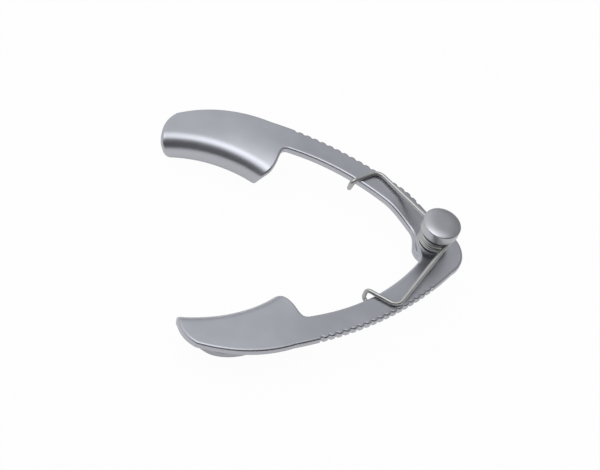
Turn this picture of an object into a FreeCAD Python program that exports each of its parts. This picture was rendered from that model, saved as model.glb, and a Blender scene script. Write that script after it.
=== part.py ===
import FreeCAD, Part
import math
import os
import Sketcher
from FreeCAD import Placement, Rotation, Vector

# Eye speculum with solid blades, a pivot with a torsion spring and a locking thumbscrew.
# Frame: the pivot axis is Z, with z = 0 at the flat underside of the screw's end.
# The blades point along -X. The lower arm lies on the +Y side and the upper arm on the -Y side.
# Sizes are in millimetres and degrees. Plan positions are written for the +Y arm; the other is its mirror.
# A place on the blade is given by how far back from the tips and how far in from the outer side it lies.

SIZES = {
    # sheet metal of the arms
    "plate_thickness": 1.12,
    "lug_gap": 0.03,
    # from the pivot to the blades' tips, and from the middle to a blade's outer side
    "arm_reach": 36.25,
    "arm_spread": 19.0,
    # outer edge of an arm, from the rear end to the blade's tip
    "outer_bow_radius": 53.3,
    "rear_corner_x": 2.5,
    "rear_corner_y": 4.42,
    "shoulder_back": 15.35,
    "shoulder_in": 0.0,
    "blade_bow_radius": 17.0,
    "blade_corner_back": 2.35,
    "blade_corner_in": -0.38,
    "tip_corner_radius": 5.6,
    "tip_back": 0.0,
    "tip_in": 3.4,
    "tip_inner_back": 1.65,
    "tip_inner_in": 5.4,
    "tip_inner_radius": 2.3,
    "tip_lean": 23.0,
    "tip_side_radius": 1.9,
    # inner edge of an arm, from the notch beside the blade to the lug
    "inner_bow_radius": 31.6,
    "notch_back": 16.8,
    "notch_in": 4.6,
    "notch_angle": 60.0,
    "notch_radius": 1.3,
    "throat_x": -1.92,
    "throat_y": 2.75,
    # round rear end, with the lug around the pivot
    "rear_radius": 4.4,
    "rear_end_x": 3.7,
    "rear_end_y": -1.4,
    "rear_return_radius": 3.6,
    "lug_side_x": 0.2,
    "upper_lug_radius": 2.9,
    "upper_lug_front_x": -1.95,
    "upper_lug_front_y": -1.8,
    "upper_lug_side_y": -2.9,
    "lower_lug_radius": 2.25,
    "lower_lug_front_x": -2.05,
    "lower_lug_front_y": 0.95,
    "lower_lug_side_y": -2.2,
    # step that takes the lower arm down under the upper one, along a direction in plan
    "step_start": -9.0,
    "step_end": -2.8,
    "step_direction": -50.0,
    # lid channel: the blade's inner side rolls down and back out under the plate
    "channel_radius": 2.3,
    "fold_reach": 3.8,
    "fold_start_sink": 0.67,
    "fold_end_sink": 0.05,
    "spine_radius": 20.9,
    "spine_centre_back": 1.95,
    "spine_centre_in": 23.45,
    "blade_start_angle": 40.0,
    "blade_end_angle": 98.0,
    "blade_droop": 1.75,
    "plate_reach": 14.0,
    "lip_reach": 4.5,
    "lip_radius": 6.1,
    "lip_centre_angle": 72.4,
    "lip_centre_distance": 17.7,
    # grip serrations along the outer edge
    "serration_pitch": 1.14,
    "serration_count": 18,
    "serration_cut_radius": 0.3,
    "serration_depth": 0.2,
    "serration_start": 3.91,
    # pivot hardware
    "screw_radius": 0.9,
    "screw_clearance": 0.04,
    "ring_radius": 1.45,
    "ring_thickness": 0.32,
    "ring_gap": 0.12,
    "sleeve_radius": 1.42,
    "flange_radius": 1.95,
    "flange_thickness": 0.3,
    "head_radius": 2.65,
    "head_side": 1.42,
    "head_dome": 0.35,
    "head_clearance": 0.02,
    # spring wire
    "wire_radius": 0.3,
    "wire_clearance": 0.03,
    "coil_radius": 2.05,
    "coil_bottom": 0.9,
    "coil_top": 2.55,
    "coil_headroom": 0.25,
    "leg_angle": 41.0,
    "coil_full_turns": 2,
    "leg_bend_x": -6.35,
    "leg_bend_y": 11.55,
    "leg_bend_radius": 1.3,
    "hook_start": 10.58,
    "hook_gap": 0.75,
    "hook_bend_radius": 0.55,
    "hook_return": 0.9,
}

os.makedirs("parts", exist_ok=True)
doc = FreeCAD.newDocument("eye_speculum")
sheet = doc.addObject("Spreadsheet::Sheet", "Sizes")
for row, (alias, value) in enumerate(SIZES.items(), start=1):
    sheet.set("A%d" % row, alias)
    sheet.set("B%d" % row, str(value))
    sheet.setAlias("B%d" % row, alias)
doc.recompute()


def size(alias):
    """A driving dimension, read from the sheet."""
    return float(sheet.get(alias))


# Heights of the stack along the pivot axis, from the screw's underside up.
LUG_LEVEL = "(Sizes.ring_thickness + Sizes.ring_gap)"
STEP_DROP = "(Sizes.plate_thickness + Sizes.lug_gap)"
ARM_TOP = "(%s + %s + Sizes.plate_thickness)" % (LUG_LEVEL, STEP_DROP)
HEAD_LEVEL = "(%s + Sizes.coil_top + Sizes.wire_radius + Sizes.coil_headroom)" % ARM_TOP

step_drop = size("plate_thickness") + size("lug_gap")
arm_top = size("ring_thickness") + size("ring_gap") + step_drop + size("plate_thickness")


def blade_spot(name):
    """A plan point of the blade, from its distances back from the tips and in from the outer side."""
    return Vector(size(name + "_back") - size("arm_reach"), size("arm_spread") - size(name + "_in"), 0)


spine_centre = blade_spot("spine_centre")
MARGIN = 3.0
WIDE = 60.0
# the blade is swept a few degrees past its tip, and the outline then cuts it
SWEEP_OVERRUN = 2.0
SWEEP_STEPS = 8
COIL_POINT_ANGLE = 20.0


def polar(centre, angle, distance):
    """The plan point at an angle in degrees and a distance from a centre."""
    turn = math.radians(angle)
    return centre + Vector(distance * math.cos(turn), distance * math.sin(turn), 0)


def bow(start, end, radius):
    """An arc between two plan points that bulges to the left of the way from start to end."""
    chord = end - start
    across = Vector(-chord.y, chord.x, 0).normalize()
    rise = radius - math.sqrt(radius ** 2 - (chord.Length / 2) ** 2)
    return Part.Arc(start, (start + end) / 2 + across * rise, end)


def arc_centre(start, end, radius):
    """The centre of the bow between two points."""
    chord = end - start
    across = Vector(-chord.y, chord.x, 0).normalize()
    return (start + end) / 2 - across * math.sqrt(radius ** 2 - (chord.Length / 2) ** 2)


def mirrored(point, side):
    """The point on the +Y arm for side 1, or on the -Y arm for side -1."""
    return Vector(point.x, side * point.y, point.z)


def bind(target, **expressions):
    """Bind properties of an object to formulas on the sheet."""
    for name, expression in expressions.items():
        target.setExpression(name, expression)
    return target


def cylinder(name, radius, height, level="0"):
    """A cylinder on the pivot axis, from a level up."""
    made = doc.addObject("Part::Cylinder", name)
    made.setExpression(".Placement.Base.z", level)
    return bind(made, Radius=radius, Height=height)


def boolean(kind, name, base, tool):
    """A cut or a common of two objects."""
    made = doc.addObject("Part::" + kind, name)
    made.Base = base
    made.Tool = tool
    return made


# Plan of one arm

def plan_points():
    """Corners of the arm's outline, in the order that the outline runs."""
    notch = blade_spot("notch")
    tip_inner = blade_spot("tip_inner")
    fold = size("spine_radius") - size("channel_radius")
    slope = math.radians(size("notch_angle"))
    along = Vector(-math.cos(slope), -math.sin(slope), 0)
    toward_blade = Vector(-along.y, along.x, 0) * -1
    # centre of the rounding between the notch and the fold
    radius = size("notch_radius")
    offset = notch + toward_blade * radius - spine_centre
    middle = -offset.dot(along)
    reach = middle - math.sqrt(middle ** 2 - offset.dot(offset) + (fold + radius) ** 2)
    rounding = offset + along * reach + spine_centre
    fold_point = spine_centre + (rounding - spine_centre).normalize() * fold
    half_way = ((fold_point - rounding) - toward_blade * radius).normalize()
    return {
        "rear_corner": Vector(size("rear_corner_x"), size("rear_corner_y"), 0),
        "shoulder": blade_spot("shoulder"),
        "blade_corner": blade_spot("blade_corner"),
        "tip": blade_spot("tip"),
        "tip_inner": tip_inner,
        "tip_inside": Vector(tip_inner.x, spine_centre.y + fold - MARGIN, 0),
        "fold_point": fold_point,
        "fold_middle": rounding + half_way * radius,
        "notch_outside": rounding - toward_blade * radius,
        "notch": notch,
        "throat": Vector(size("throat_x"), size("throat_y"), 0),
        "rear_end": Vector(size("rear_end_x"), size("rear_end_y"), 0),
    }


PLAN = plan_points()


def outline_edges(lug):
    """Lines and arcs of the outline of the upper or lower arm, written for the +Y side."""
    p = PLAN
    radius = size(lug + "_lug_radius")
    front = Vector(size(lug + "_lug_front_x"), size(lug + "_lug_front_y"), 0)
    below = Vector(size("lug_side_x"), size(lug + "_lug_side_y"), 0)
    return [
        bow(p["shoulder"], p["rear_corner"], size("outer_bow_radius")),
        bow(p["rear_corner"], p["rear_end"], size("rear_radius")),
        bow(p["rear_end"], below, size("rear_return_radius")),
        bow(below, front, radius),
        Part.LineSegment(front, p["throat"]),
        bow(p["notch"], p["throat"], size("inner_bow_radius")),
        Part.LineSegment(p["notch"], p["notch_outside"]),
        Part.Arc(p["notch_outside"], p["fold_middle"], p["fold_point"]),
        Part.LineSegment(p["fold_point"], p["tip_inside"]),
        Part.LineSegment(p["tip_inside"], p["tip_inner"]),
        bow(p["tip_inner"], p["tip"], size("tip_inner_radius")),
        bow(p["tip"], p["blade_corner"], size("tip_corner_radius")),
        bow(p["blade_corner"], p["shoulder"], size("blade_bow_radius")),
    ]


def flipped(edge, side):
    """The same line or arc on the chosen arm."""
    if isinstance(edge, Part.LineSegment):
        return Part.LineSegment(mirrored(edge.StartPoint, side), mirrored(edge.EndPoint, side))
    first, last = edge.FirstParameter, edge.LastParameter
    spots = [mirrored(edge.value(at), side) for at in (first, (first + last) / 2, last)]
    arc = Part.Edge(Part.Arc(*spots))
    return Part.ArcOfCircle(arc.Curve, *arc.ParameterRange)


def outline_prism(name, side, lug):
    """The arm's outline, standing as a tall prism."""
    outline = doc.addObject("Sketcher::SketchObject", name + "_outline")
    for edge in outline_edges(lug):
        outline.addGeometry(flipped(edge, side), False)
    prism = doc.addObject("Part::Extrusion", name + "_prism")
    prism.Base = outline
    prism.DirMode = "Custom"
    prism.Dir = Vector(0, 0, 1)
    prism.LengthFwd = WIDE
    prism.Symmetric = True
    prism.Solid = True
    return prism


# Side view of one arm

def s_curve(start, end, level, drop):
    """Two equal arcs that lead smoothly down from one level to the next, in the XZ plane."""
    run = end - start
    radius = (run ** 2 + drop ** 2) / (4 * drop)
    middle = Vector((start + end) / 2, 0, level - drop / 2)
    lean = math.asin(run / 2 / radius) / 2
    side_step = Vector(radius * math.sin(lean), 0, -radius * (1 - math.cos(lean)))
    first, last = Vector(start, 0, level), Vector(end, 0, level - drop)
    return [
        Part.Arc(first, first + side_step, middle).toShape(),
        Part.Arc(middle, last - side_step, last).toShape(),
    ]


def side_strip(name, stepped):
    """The plate seen from the side: flat, or stepped down towards the pivot."""
    start, end = size("step_start"), size("step_end")
    left, right = PLAN["tip"].x - WIDE, PLAN["rear_end"].x + 2 * MARGIN
    thickness = size("plate_thickness")
    lines = []
    for level in (arm_top, arm_top - thickness):
        if stepped:
            lines.append([Part.makeLine(Vector(left, 0, level), Vector(start, 0, level))]
                         + s_curve(start, end, level, step_drop)
                         + [Part.makeLine(Vector(end, 0, level - step_drop),
                                          Vector(right, 0, level - step_drop))])
        else:
            lines.append([Part.makeLine(Vector(left, 0, level), Vector(right, 0, level))])
    ends = [Part.makeLine(lines[0][i].Vertexes[v].Point, lines[1][i].Vertexes[v].Point)
            for i, v in ((0, 0), (-1, -1))]
    wire = Part.Wire(Part.__sortEdges__(lines[0] + lines[1] + ends))
    strip = doc.addObject("Part::Feature", name + "_strip")
    strip.Shape = Part.Face(wire).extrude(Vector(0, 2 * WIDE, 0))
    turn = Rotation(Vector(0, 0, 1), size("step_direction"))
    strip.Placement = Placement(turn.multVec(Vector(0, -WIDE, 0)), turn)
    return strip


# Blade

def droop(angle):
    """How far the blade has come down at an angle around the spine's centre."""
    share = (angle - size("blade_start_angle")) / (size("blade_end_angle") - size("blade_start_angle"))
    return size("blade_droop") * share ** 2


def channel_section(angle, sink, side):
    """The blade's section in the upright plane at an angle around the spine's centre.

    The plate first bends gently down by the sink, then rolls round in a half circle to the lip.
    """
    outer, thickness = size("channel_radius"), size("plate_thickness")
    spine, reach = size("spine_radius"), size("fold_reach")
    top = arm_top - droop(angle)
    axis = top - sink - outer
    plate_end = spine + size("plate_reach")
    lip_end = spine + size("lip_reach")
    bend = 2 * math.atan(sink / reach)
    gentle_radius = outer + reach / math.sin(bend)

    def at(distance, height):
        point = polar(spine_centre, angle, distance)
        point.z = height
        return mirrored(point, side)

    def line(first, second):
        return Part.makeLine(at(*first), at(*second))

    def arc(distance, height, radius, first, last):
        """An arc whose angles run from straight up, towards the fold."""
        spots = [at(distance - radius * math.sin(turn), height + radius * math.cos(turn))
                 for turn in (first, (first + last) / 2, last)]
        return Part.Arc(*spots).toShape()

    def face(inset):
        """One side of the sheet, from the flat plate to the end of the lip."""
        level, bottom = top - inset, axis - outer + inset
        return [
            line((plate_end, level), (spine + reach, level)),
            arc(spine + reach, top - gentle_radius, gentle_radius - inset, 0, bend),
            arc(spine, axis, outer - inset, bend, math.pi),
            line((spine, bottom), (lip_end, bottom)),
        ]

    ends = [
        line((lip_end, axis - outer), (lip_end, axis - outer + thickness)),
        line((plate_end, top - thickness), (plate_end, top)),
    ]
    return Part.Wire(Part.__sortEdges__(face(0) + face(thickness) + ends))


def smooth_path(points):
    """A smooth curve through points."""
    curve = Part.BSplineCurve()
    curve.interpolate(points)
    return Part.Wire([curve.toShape()])


def upright_sweep(path, sections):
    """A solid swept along a path by sections that stay upright."""
    sweep = Part.BRepOffsetAPI.MakePipeShell(path)
    sweep.setBiNormalMode(Vector(0, 0, 1))
    for section in sections:
        sweep.add(section, False, False)
    sweep.build()
    sweep.makeSolid()
    return sweep.shape()


def blade_channel(name, side):
    """The drooping plate with its lid channel, swept along the spine."""
    first, last = size("blade_start_angle"), size("blade_end_angle") + SWEEP_OVERRUN
    path = []
    for i in range(SWEEP_STEPS + 1):
        angle = first + (last - first) * i / SWEEP_STEPS
        point = polar(spine_centre, angle, size("spine_radius"))
        point.z = arm_top - droop(angle)
        path.append(mirrored(point, side))
    sections = [channel_section(first, size("fold_start_sink"), side),
                channel_section(last, size("fold_end_sink"), side)]
    channel = doc.addObject("Part::Feature", name + "_channel")
    channel.Shape = upright_sweep(smooth_path(path), sections)
    return channel


def lip_waste(name, side):
    """What is cut from under the blade, outside the round edge of the lower lip."""
    first = PLAN["notch_outside"].x
    last = PLAN["tip"].x
    depth = 2 * size("channel_radius") - size("plate_thickness")
    slope = math.degrees(math.atan2(size("blade_droop"), first - last))
    slab = doc.addObject("Part::Box", name + "_slab")
    slab.Length = slab.Width = slab.Height = WIDE
    low_corner = Vector(last - MARGIN, -WIDE / 2, arm_top - depth - size("blade_droop"))
    tilt = Rotation(Vector(0, 1, 0), -slope)
    slab.Placement = Placement(low_corner - tilt.multVec(Vector(0, 0, WIDE)), tilt)
    keep = doc.addObject("Part::Cylinder", name + "_lip")
    bind(keep, Radius="Sizes.lip_radius")
    keep.Height = 2 * WIDE
    centre = polar(spine_centre, size("lip_centre_angle"), size("lip_centre_distance"))
    keep.Placement = Placement(mirrored(centre, side) - Vector(0, 0, WIDE), Rotation())
    return boolean("Cut", name + "_lip_waste", slab, keep)


def tip_rounding(name):
    """The blade's side view: its end leans back under the tip, with the low corner rounded off."""
    radius = size("tip_side_radius")
    lean = math.radians(size("tip_lean"))
    down = Vector(math.sin(lean), 0, -math.cos(lean))
    back = Vector(math.cos(lean), 0, math.sin(lean))
    tip = Vector(PLAN["tip"].x, 0, arm_top - droop(size("blade_end_angle")))
    fall = 2 * size("channel_radius") - radius
    centre = tip + Vector(fall * math.tan(lean) + radius / math.cos(lean), 0, -fall)
    plumb = Vector(0, 0, -1)
    rounding = Part.Arc(centre - back * radius, centre + (plumb - back).normalize() * radius,
                        centre + plumb * radius)
    right = PLAN["tip"].x + WIDE
    bottom = centre + plumb * radius
    corners = [bottom, Vector(right, 0, bottom.z), Vector(right, 0, arm_top + MARGIN),
               tip - down * 2 * MARGIN, centre - back * radius]
    sides = [Part.makeLine(corners[i], corners[i + 1]) for i in range(len(corners) - 1)]
    block = doc.addObject("Part::Feature", name + "_tip_block")
    block.Shape = Part.Face(Part.Wire([rounding.toShape()] + sides)).extrude(Vector(0, WIDE, 0))
    block.Placement = Placement(Vector(0, -WIDE / 2, 0), Rotation())
    return block


def beyond_blade_start(name, side):
    """The space past the blade's first section, where the flat plate ends."""
    space = doc.addObject("Part::Box", name + "_blade_space")
    space.Length = space.Width = space.Height = WIDE
    angle = size("blade_start_angle")
    corner = spine_centre if side > 0 else mirrored(polar(spine_centre, angle, WIDE), side)
    turn = angle if side > 0 else 180.0 - angle
    space.Placement = Placement(corner - Vector(0, 0, WIDE / 2), Rotation(Vector(0, 0, 1), turn))
    return space


def serration_cutters(name, side):
    """A row of upright cutters along the outer edge, one for each scallop."""
    radius = size("outer_bow_radius")
    centre = arc_centre(PLAN["shoulder"], PLAN["rear_corner"], radius)
    distance = radius + size("serration_cut_radius") - size("serration_depth")
    outward = PLAN["shoulder"] - centre
    start = math.degrees(math.atan2(outward.y, outward.x) - size("serration_start") / radius)
    pitch = math.degrees(size("serration_pitch") / radius)
    cutters = []
    for i in range(int(size("serration_count"))):
        spot = mirrored(polar(centre, start - pitch * i, distance), side)
        cutter = doc.addObject("Part::Cylinder", "%s_serration_%d" % (name, i + 1))
        bind(cutter, Radius="Sizes.serration_cut_radius")
        cutter.Height = WIDE
        cutter.Placement = Placement(spot - Vector(0, 0, WIDE / 2), Rotation())
        cutters.append(cutter)
    row = doc.addObject("Part::Compound", name + "_serrations")
    row.Links = cutters
    return row


def make_arm(name, side, stepped):
    """One arm with its blade, serrations and pivot bore."""
    prism = outline_prism(name, side, "lower" if stepped else "upper")
    flat = boolean("Common", name + "_flat", prism, side_strip(name, stepped))
    plate = boolean("Cut", name + "_plate", flat, beyond_blade_start(name, side))
    blade = boolean("Common", name + "_blade", prism, blade_channel(name, side))
    rounded = boolean("Common", name + "_rounded", blade, tip_rounding(name))
    lipped = boolean("Cut", name + "_lipped", rounded, lip_waste(name, side))
    whole = doc.addObject("Part::Fuse", name + "_whole")
    whole.Base, whole.Tool = plate, lipped
    notched = boolean("Cut", name + "_notched", whole, serration_cutters(name, side))
    bore = cylinder(name + "_bore", "Sizes.screw_radius + Sizes.screw_clearance",
                    ARM_TOP + " + Sizes.plate_thickness", "-Sizes.plate_thickness")
    arm = boolean("Cut", name + "_body", notched, bore)
    arm.Label = name
    return arm


# Pivot hardware

def turned(name, corners, arcs=()):
    """A turned piece: a closed profile of expression pairs, revolved about the pivot axis."""
    body = doc.addObject("PartDesign::Body", name)
    body.Label = name
    sketch = body.newObject("Sketcher::SketchObject", name + "_profile")
    plane = [f for f in body.Origin.OriginFeatures if f.Role == "XZ_Plane"][0]
    sketch.AttachmentSupport = [(plane, "")]
    sketch.MapMode = "FlatFace"
    probe = [(float(doc_value(x)), float(doc_value(z))) for x, z in corners]
    count = len(corners)
    for i, (x, z) in enumerate(probe):
        after = probe[(i + 1) % count]
        sketch.addGeometry(Part.LineSegment(Vector(x, z, 0), Vector(after[0], after[1], 0)), False)
    for i in range(count):
        sketch.addConstraint(Sketcher.Constraint("Coincident", i, 2, (i + 1) % count, 1))
    for i, (x, z) in enumerate(corners):
        for kind, expression, value in (("DistanceX", x, probe[i][0]), ("DistanceY", z, probe[i][1])):
            if expression == "0":
                axis = -2 if kind == "DistanceX" else -1
                sketch.addConstraint(Sketcher.Constraint("PointOnObject", i, 1, axis))
                continue
            index = sketch.addConstraint(Sketcher.Constraint(kind, -1, 1, i, 1, value))
            sketch.setExpression("Constraints[%d]" % index, expression)
    turning = body.newObject("PartDesign::Revolution", name + "_turning")
    turning.Profile = sketch
    turning.ReferenceAxis = (sketch, ["V_Axis"])
    turning.Angle = 360.0
    doc.recompute()
    return body


def doc_value(expression):
    """The value of a formula on the sheet."""
    return sheet.evalExpression(expression.replace("Sizes.", ""))


def make_stop_ring():
    """The ring on the screw's end that keeps the screw in the arms."""
    outer = cylinder("stop_ring_blank", "Sizes.ring_radius", "Sizes.ring_thickness")
    hole = cylinder("stop_ring_hole", "Sizes.screw_radius", "Sizes.ring_thickness")
    ring = boolean("Cut", "stop_ring_body", outer, hole)
    ring.Label = "stop_ring"
    return ring


def make_sleeve():
    """The flanged sleeve inside the coil, between the upper lug and the screw's head."""
    bore = "Sizes.screw_radius + Sizes.screw_clearance"
    top = HEAD_LEVEL + " - Sizes.head_clearance"
    flange_top = ARM_TOP + " + Sizes.flange_thickness"
    return turned("spring_sleeve", [
        (bore, ARM_TOP),
        ("Sizes.flange_radius", ARM_TOP),
        ("Sizes.flange_radius", flange_top),
        ("Sizes.sleeve_radius", flange_top),
        ("Sizes.sleeve_radius", top),
        (bore, top),
    ])


def make_thumb_screw():
    """The screw with its smooth, domed head."""
    shank = cylinder("screw_shank", "Sizes.screw_radius", HEAD_LEVEL + " + Sizes.head_side / 2")
    side = cylinder("screw_head_side", "Sizes.head_radius", "Sizes.head_side + Sizes.head_dome", HEAD_LEVEL)
    ball = doc.addObject("Part::Sphere", "screw_head_dome")
    radius = "(Sizes.head_radius ^ 2 + Sizes.head_dome ^ 2) / (2 * Sizes.head_dome)"
    bind(ball, Radius=radius)
    ball.setExpression(".Placement.Base.z",
                       "%s + Sizes.head_side + Sizes.head_dome - %s" % (HEAD_LEVEL, radius))
    head = boolean("Common", "screw_head", side, ball)
    screw = doc.addObject("Part::Fuse", "thumb_screw_body")
    screw.Base, screw.Tool = head, shank
    screw.Label = "thumb_screw"
    return screw


# Spring, bent from one wire: two legs and a coil

def wire_pipe(name, path, start, heading):
    """Round wire along a path."""
    ring = Part.Wire([Part.makeCircle(size("wire_radius"), start, heading)])
    pipe = doc.addObject("Part::Feature", name)
    pipe.Shape = path.makePipeShell([ring], True, True)
    return pipe


def rounded_path(points, radii):
    """Straight runs through the points, with an arc of its own radius at each inner point."""
    edges = []
    begin = points[0]
    for i in range(1, len(points) - 1):
        back = (points[i - 1] - points[i]).normalize()
        ahead = (points[i + 1] - points[i]).normalize()
        half = back.getAngle(ahead) / 2
        inset = radii[i - 1] / math.tan(half)
        bisector = (back + ahead).normalize()
        middle = points[i] + bisector * (radii[i - 1] / math.sin(half) - radii[i - 1])
        first, last = points[i] + back * inset, points[i] + ahead * inset
        edges.append(Part.makeLine(begin, first))
        edges.append(Part.Arc(first, middle, last).toShape())
        begin = last
    edges.append(Part.makeLine(begin, points[-1]))
    return Part.Wire(edges)


def make_leg(name, side, level):
    """One spring leg: off the coil, over the arm, and hooked under its inner edge."""
    reach = size("wire_radius") + size("wire_clearance")
    inner_bow = size("inner_bow_radius")
    bow_centre = arc_centre(PLAN["notch"], PLAN["throat"], inner_bow)
    outward = PLAN["notch"] - bow_centre
    angle = math.degrees(math.atan2(outward.y, outward.x) - size("hook_start") / inner_bow)
    outside = polar(bow_centre, angle, inner_bow - reach - size("hook_gap"))
    inside = polar(bow_centre, angle, inner_bow + size("hook_return"))
    above = arm_top + reach
    below = arm_top - size("plate_thickness") - reach
    start = polar(Vector(0, 0, 0), size("leg_angle"), size("coil_radius"))
    points = [
        start + Vector(0, 0, arm_top + size(level)),
        Vector(size("leg_bend_x"), size("leg_bend_y"), above),
        outside + Vector(0, 0, above),
        outside + Vector(0, 0, below),
        inside + Vector(0, 0, below),
    ]
    points = [mirrored(point, side) for point in points]
    bends = [size("leg_bend_radius"), size("hook_bend_radius"), size("hook_bend_radius")]
    path = rounded_path(points, bends)
    return wire_pipe(name, path, points[0], points[1] - points[0])


def make_coil():
    """The coil: whole turns and the angle between the legs, rising from the lower leg to the upper."""
    sweep = size("coil_full_turns") * 360.0 + 2 * size("leg_angle")
    rise = size("coil_top") - size("coil_bottom")
    radius = size("coil_radius")
    steps = math.ceil(sweep / COIL_POINT_ANGLE)
    points = []
    for i in range(steps + 1):
        level = Vector(0, 0, arm_top + size("coil_bottom") + rise * i / steps)
        points.append(polar(level, size("leg_angle") - sweep * i / steps, radius))
    path = smooth_path(points)
    start = path.Edges[0]
    ring = Part.makeCircle(size("wire_radius"), points[0], start.tangentAt(start.FirstParameter))
    coil = doc.addObject("Part::Feature", "spring_coil")
    coil.Shape = upright_sweep(path, [Part.Wire([ring])])
    return coil


NODES = [
    make_arm("lower_arm", 1, True),
    make_arm("upper_arm", -1, False),
    make_stop_ring(),
    make_sleeve(),
    make_thumb_screw(),
    make_coil(),
    make_leg("lower_spring_leg", 1, "coil_bottom"),
    make_leg("upper_spring_leg", -1, "coil_top"),
]

doc.recompute()
for item in doc.Objects:
    if "Invalid" in item.State or "Error" in item.State:
        raise RuntimeError("failed object: %s %s" % (item.Name, item.State))
for node in NODES:
    if node.Shape.isNull() or not node.Shape.isValid():
        raise RuntimeError("bad shape: " + node.Label)
    node.Shape.exportStep("parts/%s.step" % node.Label)
    box = node.Shape.BoundBox
    print("%-18s solids %d volume %8.3f  x %.2f..%.2f  y %.2f..%.2f  z %.2f..%.2f" % (
        node.Label, len(node.Shape.Solids), node.Shape.Volume,
        box.XMin, box.XMax, box.YMin, box.YMax, box.ZMin, box.ZMax))
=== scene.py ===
import bpy
import bmesh
import math
import numpy as np
from mathutils import Matrix, Vector
from mathutils.geometry import delaunay_2d_cdt


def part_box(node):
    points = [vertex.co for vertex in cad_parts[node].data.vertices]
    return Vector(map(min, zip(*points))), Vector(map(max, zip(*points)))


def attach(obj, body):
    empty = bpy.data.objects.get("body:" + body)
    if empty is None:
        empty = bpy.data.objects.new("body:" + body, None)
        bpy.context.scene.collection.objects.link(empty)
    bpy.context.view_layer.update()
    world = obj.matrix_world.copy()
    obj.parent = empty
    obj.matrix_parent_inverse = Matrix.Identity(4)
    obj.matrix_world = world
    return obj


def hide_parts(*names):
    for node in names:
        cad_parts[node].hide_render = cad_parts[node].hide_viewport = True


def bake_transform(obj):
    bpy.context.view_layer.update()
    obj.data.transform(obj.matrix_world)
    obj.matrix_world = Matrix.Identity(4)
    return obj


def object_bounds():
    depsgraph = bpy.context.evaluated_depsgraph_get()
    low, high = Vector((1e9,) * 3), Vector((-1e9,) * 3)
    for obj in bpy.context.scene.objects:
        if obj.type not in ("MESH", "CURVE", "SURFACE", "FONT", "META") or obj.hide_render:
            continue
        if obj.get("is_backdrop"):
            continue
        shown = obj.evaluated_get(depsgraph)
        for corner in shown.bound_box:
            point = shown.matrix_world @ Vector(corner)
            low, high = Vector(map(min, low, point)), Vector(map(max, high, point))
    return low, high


# %% [markdown]
# This file dresses a small sprung eye speculum: two sheet-steel arms with blades that hold the lids
# apart, a torsion spring of steel wire, and a thumbscrew. The frame gives the solids at their real size
# and place. Every piece made here stands where its solid stands, and only looks better: its edges are
# rounded, its surfaces are smooth and its steel is satin.
#
# The drawing unit below is the millimetre, because the plans of such parts are drawn in it. Each finished
# mesh is brought to metres in one step.

# %% Load the frame
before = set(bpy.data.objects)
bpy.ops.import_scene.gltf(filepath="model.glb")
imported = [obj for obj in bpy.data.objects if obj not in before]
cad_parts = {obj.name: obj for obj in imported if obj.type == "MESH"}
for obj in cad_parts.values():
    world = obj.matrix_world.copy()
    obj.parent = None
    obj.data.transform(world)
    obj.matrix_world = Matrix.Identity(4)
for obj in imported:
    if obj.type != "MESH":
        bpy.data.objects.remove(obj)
cad_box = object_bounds()
MM = 0.001
scene = bpy.context.scene


def top_of(node):
    """The highest level of a node, in millimetres."""
    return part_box(node)[1].z / MM


arm_top = top_of("upper_arm")
plate_thickness = 1.12
lug_gap = 0.03
step_drop = plate_thickness + lug_gap
print("the arms' upper face is at %.2f mm" % arm_top)

# %% [markdown]
# A node tree is easier to read as a formula than as a list of nodes and links. The class Value wraps one
# socket. Its operators add the Math nodes, so that `1 - mask` and `radius * angle` can be written as they
# are thought. The class Graph holds the tree, and its one method `add` makes any other kind of node:
# first its settings, then the numbers or links of its sockets. The same two classes serve materials, the
# world and geometry.

# %% A formula in nodes
class Value:
    """One socket of a node tree, used like a number."""

    def __init__(self, graph, socket):
        self.graph = graph
        self.socket = socket

    def math(self, operation, *others, clamp=False):
        """A Math node with this value first."""
        values = dict(enumerate((self,) + others))
        return self.graph.add("ShaderNodeMath", {"operation": operation, "use_clamp": clamp}, values)

    def __add__(self, other):
        return self.math("ADD", other)

    __radd__ = __add__

    def __mul__(self, other):
        return self.math("MULTIPLY", other)

    __rmul__ = __mul__

    def __sub__(self, other):
        return self.math("SUBTRACT", other)

    def __rsub__(self, other):
        return (self * -1) + other

    def __truediv__(self, other):
        return self.math("DIVIDE", other)

    def __rtruediv__(self, other):
        return self.math("POWER", -1.0) * other

    def sin(self):
        return self.math("SINE")

    def cos(self):
        return self.math("COSINE")

    def sqrt(self):
        return self.math("SQRT")

    def least(self, other):
        return self.math("MAXIMUM", other)

    def most(self, other):
        return self.math("MINIMUM", other)

    def ease(self, start, end, low=0.0, high=1.0):
        """A smooth change from low to high while the value goes from start to end."""
        return self.graph.add("ShaderNodeMapRange", {"interpolation_type": "SMOOTHSTEP"},
                              {0: self, 1: start, 2: end, 3: low, 4: high})


class Graph:
    """A node tree that is written in Python."""

    def __init__(self, tree):
        self.tree = tree

    def add(self, kind, settings=None, values=None, output=0):
        """A node: its settings are set first, then its sockets get numbers or links."""
        node = self.tree.nodes.new(kind)
        for name, setting in (settings or {}).items():
            setattr(node, name, setting)
        for name, value in (values or {}).items():
            if isinstance(value, Value):
                self.tree.links.new(value.socket, node.inputs[name])
            else:
                node.inputs[name].default_value = value
        return Value(self, node.outputs[output]) if node.outputs else node

    def parts(self, vector):
        """The x, y and z of a vector."""
        split = self.add("ShaderNodeSeparateXYZ", values={0: vector})
        return [Value(self, socket) for socket in split.socket.node.outputs]

    def vector(self, x, y, z):
        """A vector from its three parts."""
        return self.add("ShaderNodeCombineXYZ", values={0: x, 1: y, 2: z})


# %% [markdown]
# A geometry tree takes named sizes. `geometry_tree` makes the tree with those inputs and gives its author
# a Graph, the incoming shape and the inputs as Values. `run_tree` puts it on an object as a modifier,
# sets each input by its socket's identifier, and reads the result back as a plain mesh, so that no live
# modifier is left.

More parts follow.
